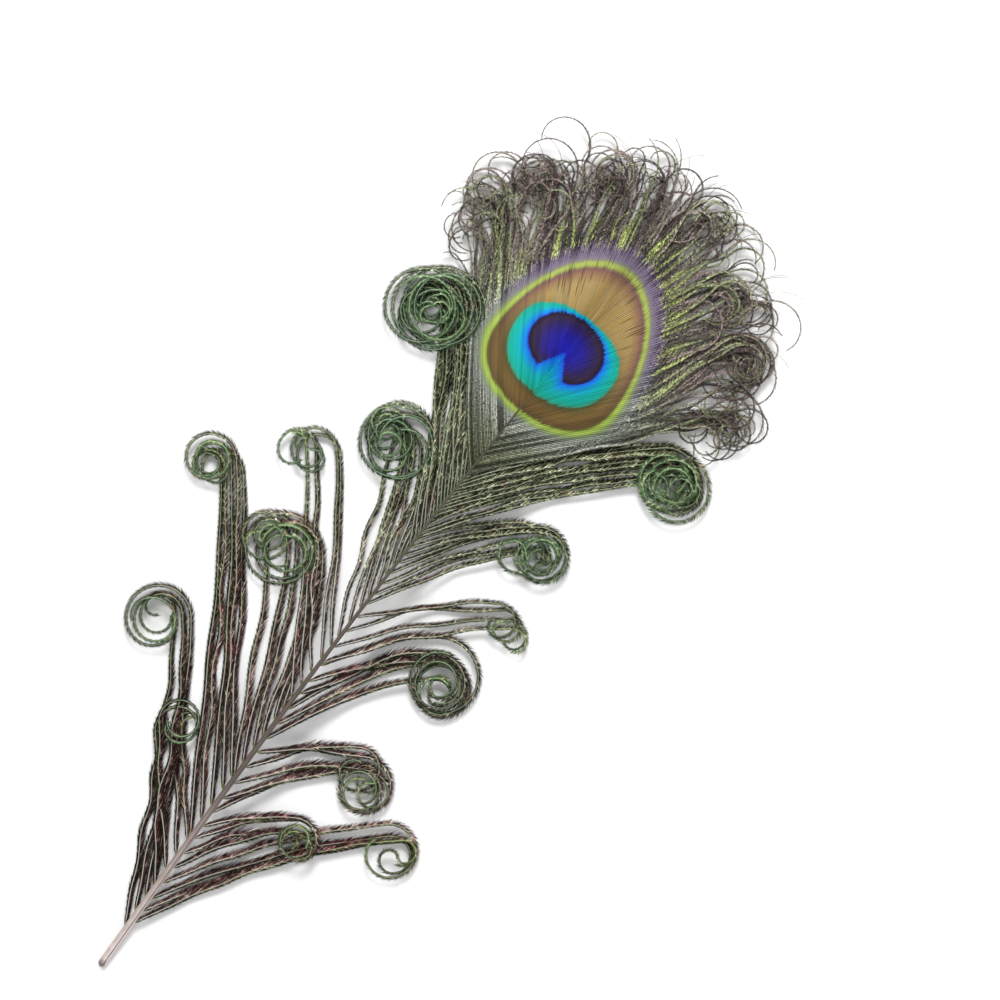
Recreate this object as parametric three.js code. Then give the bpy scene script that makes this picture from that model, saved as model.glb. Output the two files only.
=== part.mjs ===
// A cut and curled peacock eye feather, lying face up as it rests on a table.
// Millimetres. Each piece is built in the feather's own frame: x is out to the right of the shaft line,
// y runs from the cut quill end to the tip, z is up from the table. The whole feather is then moved so
// that the bottom centre of its box is the origin.
import * as THREE from "three";

// Shaft: quill and rachis, one grown piece.
const shaftLength = 222;
const quillHalfWidth = 1.1;
const shaftTipHalfWidth = 0.15;
const shaftTaperPower = 1.25;
const shaftBow = 2; // how far the middle bows out to the left
const shaftBowLength = 208;
const archHeight = 7; // how far the middle stands off the table
const archLength = 230;

// Herls: the loose barbs below the eye, each a flat ribbon of rib and barbules.
const herlHalfThickness = 0.3;
const herlRootHalfWidth = 0.35;
const herlFullHalfWidth = 0.7;
const herlTipHalfWidth = 0.5;
const herlWideningLength = 25; // distance from the shaft over which the ribbon reaches its full width
const herlGap = 0.35; // clearance between pieces
const dropPerHeight = 6.5; // a herl comes down to the table over this many times its root's height
const curlLaneGap = 1.4; // between neighbouring herls of one curl
const curlPitch = 4; // how much a curl closes in, and how much it climbs, in each turn
const curlRise = 2.7;
const curlSmallestRadius = 2.2;
const turnStart = 0.25; // share of the strand after which the ribbon turns on edge
const strandSteps = 7;
const curlSteps = 12;

// Locks of herls that curl together, counted from the quill. roots: first and last root along the shaft.
// curl: its centre, out from the shaft line and along it. radius: of its outermost herl. heading: degrees off
// the shaft line at which the herls reach it. lift: height at which it rides over the herls beneath.
const locks = {
  left: [
    { roots: [13, 25], count: 3, curl: [46.6, 84.6], radius: 9, turns: 1.5, heading: 37 },
    { roots: [33, 39.5], count: 2, curl: [18.5, 66], radius: 3.6, turns: 0.9, heading: 39, inward: true },
    { roots: [47.5, 59.5], count: 3, curl: [59, 126], radius: 7, turns: 1.6, heading: 37 },
    { roots: [66, 85], count: 4, curl: [34.7, 119], radius: 9, turns: 1.6, heading: 37 },
    { roots: [93, 106], count: 3, curl: [43.5, 145], radius: 7.5, turns: 1.2, heading: 40 },
    { roots: [113, 137.5], count: 4, curl: [28.5, 161.7], radius: 11.5, turns: 1.6, heading: 37 },
    { roots: [144.5, 164.5], count: 6, curl: [37.8, 196], radius: 11.5, turns: 1.7, heading: 37 },
  ],
  right: [
    { roots: [16, 30], count: 3, curl: [46.5, 73], radius: 8, turns: 1.4, heading: 48 },
    { roots: [36.5, 48.5], count: 3, curl: [23.3, 58.7], radius: 6.4, turns: 1.7, heading: 60, lift: 2 },
    { roots: [54.5, 72.5], count: 4, curl: [29, 82.5], radius: 8.5, turns: 1.3, heading: 58 },
    { roots: [80, 97.5], count: 4, curl: [28.3, 116.2], radius: 10.8, turns: 1.6, heading: 56 },
    { roots: [105.5, 117.5], count: 3, curl: [34.5, 137], radius: 6.5, turns: 1.4, heading: 55 },
    { roots: [125, 140], count: 3, curl: [28.3, 159.1], radius: 8, turns: 1.7, heading: 55 },
    { roots: [147, 164.5], count: 5, curl: [47, 196.5], radius: 9.5, turns: 1.5, heading: 52 },
  ],
};
const leavingBend = { left: 1, right: -7 }; // degrees between a herl's way out of the shaft and its chord

// Eye web: the barbs round the eye, hooked together into one sheet on each side of the shaft.
const webRoots = [168, 221];
const webHalfThickness = 0.3;
const webFanCentre = 195; // along the shaft; the barbs' tips lie on a fan round it
const webFan = {
  left: { angle: 51, edgeRadius: 53, tipRadius: 73 },
  right: { angle: 63, edgeRadius: 59, tipRadius: 74 },
};
const webLeavingAngle = 42;
const webLanding = 0.75; // share of each barb after which the web lies flat on the table
const webRootSteps = 14;
const webBarbSteps = 8;

const degrees = Math.PI / 180;
const { lerp } = THREE.MathUtils;
const smooth = (t) => THREE.MathUtils.smoothstep(t, 0, 1);
const headed = (angle) => new THREE.Vector2(Math.sin(angle), Math.cos(angle));
const rightOf = (angle) => new THREE.Vector2(Math.cos(angle), -Math.sin(angle));

const shaftX = (y) => -shaftBow * Math.sin((Math.PI * Math.min(y, shaftBowLength)) / shaftBowLength);
const shaftZ = (y) => quillHalfWidth + archHeight * Math.sin((Math.PI * y) / archLength);

function shaftHalfWidth(y) {
  const left = Math.max(0, 1 - y / shaftLength) ** shaftTaperPower;
  return shaftTipHalfWidth + (quillHalfWidth - shaftTipHalfWidth) * left;
}

// A point of the cubic curve that leaves `from` along `leaving` and reaches `to` along `arriving`.
function sweep(from, leaving, to, arriving, reach, t) {
  const handle = from.distanceTo(to) * reach;
  const out = from.clone().addScaledVector(headed(leaving), handle);
  const back = to.clone().addScaledVector(headed(arriving), -handle);
  const p = new THREE.CubicBezierCurve(from, out, back, to);
  const slope = p.getTangent(t);
  return { at: p.getPoint(t), heading: Math.atan2(slope.x, slope.y) };
}

// The stations of one herl, from root to tip: place, heading, turn on edge and half width.
// They are worked out as if for the right side; a left herl is their mirror image.
function herlStations(side, lock, index) {
  const share = lock.count > 1 ? index / (lock.count - 1) : 0;
  const root = lerp(lock.roots[0], lock.roots[1], share);
  const lane = lock.inward ? index : lock.count - 1 - index;
  const radius = lock.radius - lane * curlLaneGap;
  const heading = lock.heading * degrees;
  const hand = lock.inward ? -1 : 1; // 1 turns away from the shaft
  const outward = side === "left" ? -1 : 1;
  const from = new THREE.Vector2(outward * shaftX(root) + shaftHalfWidth(root) + herlGap, root);
  const centre = new THREE.Vector2(...lock.curl);
  const spoke = (angle, r) => rightOf(angle).multiplyScalar(-hand * r).add(centre);
  const entry = spoke(heading, radius);
  const chord = Math.atan2(entry.x - from.x, entry.y - from.y);
  const turns = Math.min(lock.turns, (radius - curlSmallestRadius) / curlPitch);
  const strandLength = from.distanceTo(entry);
  const curlLength = 2 * Math.PI * turns * (radius - (curlPitch * turns) / 2);
  const drop = Math.min(shaftZ(root) * dropPerHeight, strandLength * turnStart);
  const stations = [];
  const add = (at, way, along, edge, climb) => {
    const widening = lerp(herlRootHalfWidth, herlFullHalfWidth, smooth(along / herlWideningLength));
    const spent = smooth(along / (strandLength + curlLength));
    const narrowing = lerp(1, herlTipHalfWidth / herlFullHalfWidth, spent);
    const halfWidth = widening * narrowing;
    const resting = halfWidth * Math.sin(edge) + herlHalfThickness * Math.cos(edge);
    const hanging = (shaftZ(root) - herlHalfThickness) * (1 - smooth(along / drop));
    stations.push({ at, heading: way, edge, halfWidth, z: resting + hanging + climb });
  };
  for (let i = 0; i <= strandSteps; i++) {
    const t = i / strandSteps;
    const step = sweep(from, chord + leavingBend[side] * degrees, entry, heading, 0.36, t);
    const turning = smooth((t - turnStart) / (1 - turnStart));
    add(step.at, step.heading, t * strandLength, (turning * Math.PI) / 2, (lock.lift ?? 0) * turning);
  }
  for (let i = 1; i <= curlSteps; i++) {
    const turned = (i / curlSteps) * turns;
    const angle = heading + hand * turned * 2 * Math.PI;
    const along = strandLength + (curlLength * i) / curlSteps;
    const risen = (lock.lift ?? 0) + curlRise * turned;
    add(spoke(angle, radius - curlPitch * turned), angle, along, Math.PI / 2, risen);
  }
  return stations;
}

// A ribbon: a long box whose length, width and thickness follow the stations.
function herlGeometry(side, lock, index) {
  const stations = herlStations(side, lock, index);
  const steps = stations.length - 1;
  const outward = side === "left" ? -1 : 1;
  const geometry = new THREE.BoxGeometry(1, 1, 1, 1, steps, 1);
  const corner = geometry.attributes.position;
  for (let i = 0; i < corner.count; i++) {
    const { at, heading, edge, halfWidth, z } = stations[Math.round((corner.getY(i) + 0.5) * steps)];
    const across = 2 * halfWidth * corner.getX(i);
    const up = 2 * herlHalfThickness * corner.getZ(i);
    const level = across * Math.cos(edge) - up * Math.sin(edge);
    const x = at.x + level * Math.cos(heading);
    const y = at.y - level * Math.sin(heading);
    corner.setXYZ(i, outward * x, y, z + across * Math.sin(edge) + up * Math.cos(edge));
  }
  return side === "left" ? turnedInsideOut(geometry) : geometry;
}

// Mirroring turns each face round, so a mirrored geometry has its faces turned back.
function turnedInsideOut(geometry) {
  const index = geometry.index.array;
  for (let i = 0; i < index.length; i += 3) {
    [index[i + 1], index[i + 2]] = [index[i + 2], index[i + 1]];
  }
  return geometry;
}

// One half of the eye web: a thin slab swept out by the barbs from root to tip.
function webGeometry(side) {
  const fan = webFan[side];
  const outward = side === "left" ? -1 : 1;
  const geometry = new THREE.BoxGeometry(1, 1, 1, webBarbSteps, webRootSteps, 1);
  const corner = geometry.attributes.position;
  for (let i = 0; i < corner.count; i++) {
    const t = corner.getX(i) + 0.5;
    const nearTip = corner.getY(i) + 0.5;
    const root = lerp(webRoots[0], webRoots[1], nearTip);
    const angle = fan.angle * (1 - nearTip) * degrees;
    const radius = lerp(fan.edgeRadius, fan.tipRadius, nearTip);
    const from = new THREE.Vector2(outward * shaftX(root) + shaftHalfWidth(root) + herlGap, root);
    const tip = headed(angle).multiplyScalar(radius).add(new THREE.Vector2(from.x * nearTip, webFanCentre));
    const leaving = webLeavingAngle * degrees * Math.cos((nearTip * Math.PI) / 2);
    const { at } = sweep(from, leaving, tip, angle * 0.75, 0.36, t);
    const height = webHalfThickness + (shaftZ(root) - webHalfThickness) * (1 - smooth(t / webLanding));
    corner.setXYZ(i, outward * at.x, at.y, height + 2 * webHalfThickness * corner.getZ(i));
  }
  return side === "left" ? turnedInsideOut(geometry) : geometry;
}

// A tapered rod whose axis follows the shaft's bow and arch.
function shaftGeometry() {
  const sides = 10;
  const steps = 24;
  const geometry = new THREE.CylinderGeometry(1, 1, 1, sides, steps);
  const corner = geometry.attributes.position;
  for (let i = 0; i < corner.count; i++) {
    const y = (corner.getY(i) + 0.5) * shaftLength;
    const half = shaftHalfWidth(y);
    corner.setXYZ(i, shaftX(y) + half * corner.getX(i), y, shaftZ(y) + half * corner.getZ(i));
  }
  return geometry;
}

const keratin = new THREE.MeshStandardMaterial({ color: 0xb3a499, roughness: 0.45, metalness: 0 });
const barbules = new THREE.MeshStandardMaterial({ color: 0x5c5a41, roughness: 0.55, metalness: 0.2 });
const eyeBarbules = new THREE.MeshStandardMaterial({ color: 0x9a7c3c, roughness: 0.45, metalness: 0.3 });

function piece(name, geometry, material) {
  geometry.deleteAttribute("uv");
  geometry.computeVertexNormals();
  const mesh = new THREE.Mesh(geometry, material);
  mesh.name = name;
  return mesh;
}

const feather = new THREE.Group();
feather.add(piece("shaft", shaftGeometry(), keratin));
for (const side of ["left", "right"]) {
  let number = 0;
  for (const lock of locks[side]) {
    for (let index = 0; index < lock.count; index++) {
      number += 1;
      const name = `herl_${side}_${String(number).padStart(2, "0")}`;
      feather.add(piece(name, herlGeometry(side, lock, index), barbules));
    }
  }
  feather.add(piece(`eye_web_${side}`, webGeometry(side), eyeBarbules));
}

const box = new THREE.Box3().setFromObject(feather);
const middle = box.getCenter(new THREE.Vector3());
feather.position.set(-middle.x, -middle.y, -box.min.z);

export default feather;
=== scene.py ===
import math
import random

import bmesh
import bpy
import numpy as np
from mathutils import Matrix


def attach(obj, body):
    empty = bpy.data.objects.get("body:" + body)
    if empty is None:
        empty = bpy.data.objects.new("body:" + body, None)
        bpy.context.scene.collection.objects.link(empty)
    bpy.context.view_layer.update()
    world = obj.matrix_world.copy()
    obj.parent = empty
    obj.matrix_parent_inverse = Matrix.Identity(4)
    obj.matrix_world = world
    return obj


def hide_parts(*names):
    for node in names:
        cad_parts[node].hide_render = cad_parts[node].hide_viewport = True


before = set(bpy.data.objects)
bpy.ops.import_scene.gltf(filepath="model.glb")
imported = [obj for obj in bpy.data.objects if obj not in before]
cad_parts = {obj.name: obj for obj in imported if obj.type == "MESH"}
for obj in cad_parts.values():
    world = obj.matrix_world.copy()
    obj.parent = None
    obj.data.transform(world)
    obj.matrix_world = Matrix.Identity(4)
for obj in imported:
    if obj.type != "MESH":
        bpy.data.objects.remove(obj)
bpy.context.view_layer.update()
mm = 0.001
tau = 2 * math.pi
print("stage: frame loaded,", len(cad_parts), "nodes")

# Everything below is laid out in the feather's own millimetres: x out from the shaft line, y from the cut
# end of the quill towards the tip, z up from the table. place() turns those into scene metres.
feather = {
    "quillEnd": (4.7305, -134.5),  # where the cut end stands in the scene, mm
    "length": 222,
    "quillHalfWidth": 1.1,
    "tipHalfWidth": 0.15,
    "taper": 1.25,
    "bow": 2,  # the middle bows out to the left
    "bowLength": 208,
    "arch": 7,  # the middle stands off the table
    "archLength": 230,
}


def place(points):
    moved = np.asarray(points, dtype=float) + (*feather["quillEnd"], 0)
    return moved * mm


def smooth(t):
    t = np.clip(t, 0, 1)
    return t * t * (3 - 2 * t)


def lerp(a, b, t):
    return a + (b - a) * t


def outwardOf(side):
    return -1 if side == "left" else 1


def shaftX(y):
    return -feather["bow"] * math.sin(math.pi * min(y, feather["bowLength"]) / feather["bowLength"])


def shaftZ(y):
    return feather["quillHalfWidth"] + feather["arch"] * math.sin(math.pi * y / feather["archLength"])


def shaftHalfWidth(y):
    left = max(0.0, 1 - y / feather["length"]) ** feather["taper"]
    return lerp(feather["tipHalfWidth"], feather["quillHalfWidth"], left)


def headed(angle):
    return np.array((math.sin(angle), math.cos(angle)))


def rightOf(angle):
    return np.array((math.cos(angle), -math.sin(angle)))


def sweepCurve(start, leaving, end, arriving, t):
    # point and heading on the cubic that leaves start and reaches end
    handle = math.dist(start, end) * 0.36
    out = start + headed(leaving) * handle
    back = end - headed(arriving) * handle
    u = 1 - t
    point = u**3 * start + 3 * u * u * t * out + 3 * u * t * t * back + t**3 * end
    slope = 3 * u * u * (out - start) + 6 * u * t * (back - out) + 3 * t * t * (end - back)
    return point, math.atan2(slope[0], slope[1])


def hexColour(text):
    channels = [int(text[i : i + 2], 16) / 255 for i in (1, 3, 5)]
    return (*(c / 12.92 if c <= 0.04045 else ((c + 0.055) / 1.055) ** 2.4 for c in channels), 1)


def newMaterial(name, surfaceOf):
    # surfaceOf adds the material's nodes to the tree and gives the inputs of its surface
    material = bpy.data.materials.new(name)
    material.use_nodes = True
    tree = material.node_tree
    tree.nodes.clear()
    surface = addNode(tree, "ShaderNodeBsdfPrincipled", surfaceOf(tree))
    addNode(tree, "ShaderNodeOutputMaterial", {0: surface})
    return material


def addNode(tree, kind, inputs=None, stops=(), **settings):
    # an input is a value, a socket, or a node whose first live output it takes; stops are a ramp's colours
    node = tree.nodes.new(kind)
    for name, value in settings.items():
        setattr(node, name, value)
    for key, value in (inputs or {}).items():
        if isinstance(value, bpy.types.Node):
            value = next(output for output in value.outputs if output.enabled)
        if isinstance(value, bpy.types.NodeSocket):
            tree.links.new(value, node.inputs[key])
        else:
            node.inputs[key].default_value = value
    for index, (position, colour) in enumerate(stops):
        elements = node.color_ramp.elements
        element = elements[index] if index < 2 else elements.new(position)
        element.position = position
        element.color = hexColour(colour)
    return node


herls = {
    "firstRoot": (0.3, 1.2),
    "spacing": (4.5, 1.3),  # between neighbouring roots, in the open part and under the eye, mm
    "unevenSpacing": (0.8, 1.2),
    "closing": (100, 166),  # the roots draw together between these places
    "laneGap": 1.4,
    "loosening": 3,  # how much closer to the shaft the largest curl of a lock lies than the smallest, mm
    "pitch": 4.0,  # how much a curl closes in each turn
    "rise": 2.0,  # and how much it climbs
    "smallestRadius": 2.0,
    "turnStart": 0.35,
    "bend": {"left": 1, "right": -7},
    "unevenBend": 2,
    "rootDepth": 0.7,  # roots stand this share of the half width out from the middle
    "dropPerHeight": 6.5,  # a barb comes down over this many times its root's height
    "dropWithin": 0.6,  # and within this share of its length
    "lying": 0.8,  # height of a rib above the table
    "edge": 0.55,  # how far the ribbon turns on edge in a curl, radians
    "ribRadius": (0.17, 0.135),
    "widening": 10,  # the ribbon has its full width this far from the shaft
    "strandStep": 2.2,
    "curlStep": 1.0,
    "strays": 0.22,  # share of the barbs that curl on their own
    "strayRadius": (0.75, 1.12),  # its radius as a share of the others'
    "strayShift": 2.4,  # and how much further off it lies
    "untidy": 1.2,  # how far a curl lies from the common centre, mm
    "furthestOff": 3.0,
    "unevenRadius": (-0.9, 1.0),
    "unevenPitch": (0.5, 1.1),
    "unevenTurns": (0.6, 1.2),
    "unevenHeading": 3,  # degrees
    "innermost": 3.2,  # least radius left to the innermost barb of a lock
    "wobble": 0.14,  # how far from round a curl is
    "sway": (0.15, 0.6),  # width and length of the waves in a strand
    "swayLength": (16, 34),
    "overlap": (0, 1.6),  # how high a barb rides over its neighbours
    "turningLift": 0.5,
    "ceiling": 7.8,  # no curl climbs past this
    "sleekLocks": 4,  # the locks nearest the quill are combed smoother
    "tuck": (0.28, 0.5),  # how much shorter barbules are where a barb turns, and in the sleek locks
    "curlTuck": 0.05,  # and in the curl itself
    "rootReach": 0.65,  # length of the barbules next to the shaft
    "endTaper": 0.4,
    "furthestOut": {"left": 66, "right": 57},
    "seed": 11,
}

# one entry for each lock of loose barbs, counted from the quill: roots along the shaft, curl's centre out and
# along, its radius and turns, and the heading at which a barb enters it
locks = {
    "left": [
        {"roots": (12.5, 27), "curl": (46.6, 84.6), "radius": 9, "turns": 1.5, "heading": 37},
        {"roots": (27, 43.5), "curl": (19, 66), "radius": 6.6, "turns": 1.1, "heading": 39, "hand": -1},
        {"roots": (43.5, 63), "curl": (59, 126), "radius": 7, "turns": 1.6, "heading": 37},
        {"roots": (63, 89), "curl": (34.2, 119), "radius": 10, "turns": 1.6, "heading": 37, "loose": 7},
        {"roots": (89, 109.5), "curl": (43.5, 145), "radius": 7.5, "turns": 1.2, "heading": 40},
        {"roots": (109.5, 141), "curl": (28, 161.7), "radius": 11.5, "turns": 1.6, "heading": 37, "loose": 9},
        {"roots": (141, 166), "curl": (37.8, 196), "radius": 11.5, "turns": 1.7, "heading": 37},
    ],
    "right": [
        {"roots": (15, 33), "curl": (46.5, 73), "radius": 8, "turns": 1.4, "heading": 48},
        {"roots": (33, 51.5), "curl": (23.3, 58.7), "radius": 6.4, "turns": 1.7, "heading": 60, "lift": 2},
        {"roots": (51.5, 76), "curl": (29, 82.5), "radius": 8.5, "turns": 1.3, "heading": 58},
        {"roots": (76, 101.5), "curl": (28.3, 116.2), "radius": 10.8, "turns": 1.6, "heading": 56},
        {"roots": (101.5, 121), "curl": (34.5, 137), "radius": 6.5, "turns": 1.4, "heading": 55},
        {"roots": (121, 143.5), "curl": (28.3, 159.1), "radius": 8, "turns": 1.7, "heading": 55},
        {"roots": (143.5, 166), "curl": (47, 196.5), "radius": 9.5, "turns": 1.5, "heading": 52},
    ],
}

# how many of the frame's nodes each lock replaces
frameHerls = {"left": (3, 2, 3, 4, 3, 4, 6), "right": (3, 3, 4, 4, 3, 3, 5)}


def spoke(curl, angle, radius):
    return curl["centre"] - curl["hand"] * radius * rightOf(angle)


def curlPoints(curl, step):
    # point and turns made so far, after the entry
    length = tau * curl["turns"] * (curl["radius"] - curl["pitch"] * curl["turns"] / 2)
    count = max(6, round(length / step))
    for i in range(1, count + 1):
        turned = i / count * curl["turns"]
        angle = curl["heading"] + curl["hand"] * turned * tau
        uneven = curl["wobble"] * curl["radius"] * (1 - math.cos(1.3 * tau * turned))
        yield spoke(curl, angle, curl["radius"] - curl["pitch"] * turned + uneven), turned


def addCurl(rows, curl, step, edge):
    top = rows[-1][2]
    for (x, y), turned in curlPoints(curl, step):
        z = min(top + herls["rise"] * turned, herls["ceiling"])
        rows.append((x, y, z, edge, smooth(turned * 1.5)))
    return rows


def herlCurl(side, lock, lane, lanes, rng):
    # a barb's own copy of its lock's curl, a little off the common one
    gap = min(herls["laneGap"], (lock["radius"] - herls["innermost"]) / max(1, lanes - 1))
    radius = lock["radius"] - lane * gap + rng.uniform(*herls["unevenRadius"])
    shift = herls["untidy"] * np.array((rng.gauss(0, 1), rng.gauss(0, 1)))
    if rng.random() < herls["strays"]:
        radius *= rng.uniform(*herls["strayRadius"])
        shift *= herls["strayShift"]
    shift *= min(1, herls["furthestOff"] / np.hypot(*shift))
    radius = max(radius, herls["smallestRadius"] + 0.8)
    pitch = herls["pitch"] * rng.uniform(*herls["unevenPitch"])
    room = (radius - herls["smallestRadius"]) / pitch
    turns = min(lock["turns"] * rng.uniform(*herls["unevenTurns"]), room)
    heading = math.radians(lock["heading"] + rng.gauss(0, herls["unevenHeading"]))
    centre = lock["curl"] + shift
    inward = lock.get("loose", herls["loosening"]) * (1 - lane / max(1, lanes - 1))
    centre[0] -= lock.get("hand", 1) * inward
    centre[0] = min(centre[0], herls["furthestOut"][side] - radius)
    return {
        "hand": lock.get("hand", 1),
        "radius": radius,
        "centre": centre,
        "pitch": pitch,
        "turns": turns,
        "heading": heading,
        "wobble": rng.uniform(-1, 1) * herls["wobble"],
    }


def herlRows(side, lock, root, lane, lanes, rng):
    # x, y, z, turn on edge and curl of the barb from its root to its end
    start = np.array((outwardOf(side) * shaftX(root) + shaftHalfWidth(root) * herls["rootDepth"], root))
    curl = herlCurl(side, lock, lane, lanes, rng)
    entry = spoke(curl, curl["heading"], curl["radius"])
    strand = math.dist(start, entry)
    bend = herls["bend"][side] + rng.gauss(0, herls["unevenBend"])
    leaving = math.atan2(*(entry - start)) + math.radians(bend)
    drop = min(shaftZ(root) * herls["dropPerHeight"], strand * herls["dropWithin"])
    over = rng.uniform(*herls["overlap"])
    swayWidth, swayLength = rng.uniform(*herls["sway"]), rng.uniform(*herls["swayLength"])
    swayStart = rng.uniform(0, tau)
    rows = []
    steps = max(8, round(strand / herls["strandStep"]))
    for i in range(steps + 1):
        t = i / steps
        point, heading = sweepCurve(start, leaving, entry, curl["heading"], t)
        sway = swayWidth * math.sin(tau * t * strand / swayLength + swayStart) * math.sin(math.pi * t)
        x, y = point + sway * rightOf(heading)
        turning = smooth((t - herls["turnStart"]) / (1 - herls["turnStart"]))
        hanging = (shaftZ(root) - herls["lying"]) * (1 - smooth(t * strand / drop))
        lift = herls["turningLift"] + lock.get("lift", 0)
        z = herls["lying"] + hanging + over * smooth(t * 3) + lift * turning
        rows.append((x, y, z, turning * herls["edge"], 0.0))
    return addCurl(rows, curl, herls["curlStep"], herls["edge"])


def barbGuide(rows, side):
    # the barbules of one hand grow along "side", those of the other hand against it
    x, y, z, edge, curled = np.array(rows).T
    turning = edge / max(edge)
    heading = np.arctan2(np.gradient(x), np.gradient(y))
    run = np.concatenate(([0], np.cumsum(np.hypot(np.diff(x), np.diff(y)))))
    outward = outwardOf(side)
    points = place(np.stack((outward * x, y, z), axis=1))
    across = (outward * np.cos(heading) * np.cos(edge), -np.sin(heading) * np.cos(edge), np.sin(edge))
    measures = {"run": run, "along": run / run[-1], "turning": turning, "curled": curled}
    return {"points": points, "side": np.stack(across, axis=1), **measures}


def guideMesh(name, barbs):
    # all the barbs of a piece as edges, with what the node tree and the material read stored on their points
    mesh = bpy.data.meshes.new(name)
    edges = []
    first = 0
    for barb in barbs:
        count = len(barb["points"])
        edges += [(first + i, first + i + 1) for i in range(count - 1)]
        first += count
    mesh.from_pydata(np.concatenate([barb["points"] for barb in barbs]), edges, [])
    sides = mesh.attributes.new("side", "FLOAT_VECTOR", "POINT")
    sides.data.foreach_set("vector", np.concatenate([barb["side"] for barb in barbs]).ravel())
    for label in barbs[0]:
        if label not in ("points", "side"):
            values = np.concatenate([np.broadcast_to(barb[label], len(barb["points"])) for barb in barbs])
            mesh.attributes.new(label, "FLOAT", "POINT").data.foreach_set("value", values)
    return mesh


barbuleTufts = {
    "bareBelow": 0.06,  # a rib has no barbules where its reach is less
    # hand, its seed, where its tufts start and how long its barbules are
    "hands": ((1, 100, 0.0, 0.6), (-1, 200, 2.6, 1.2)),
    "start": 40.0,  # sets the tufts of neighbouring barbs apart
    "droop": 0.12,  # what a tuft adds to the droop, the length and the tint
    "swell": 0.08,
    "tint": 0.14,
    "tints": (0.14, 0.86),
}


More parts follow.
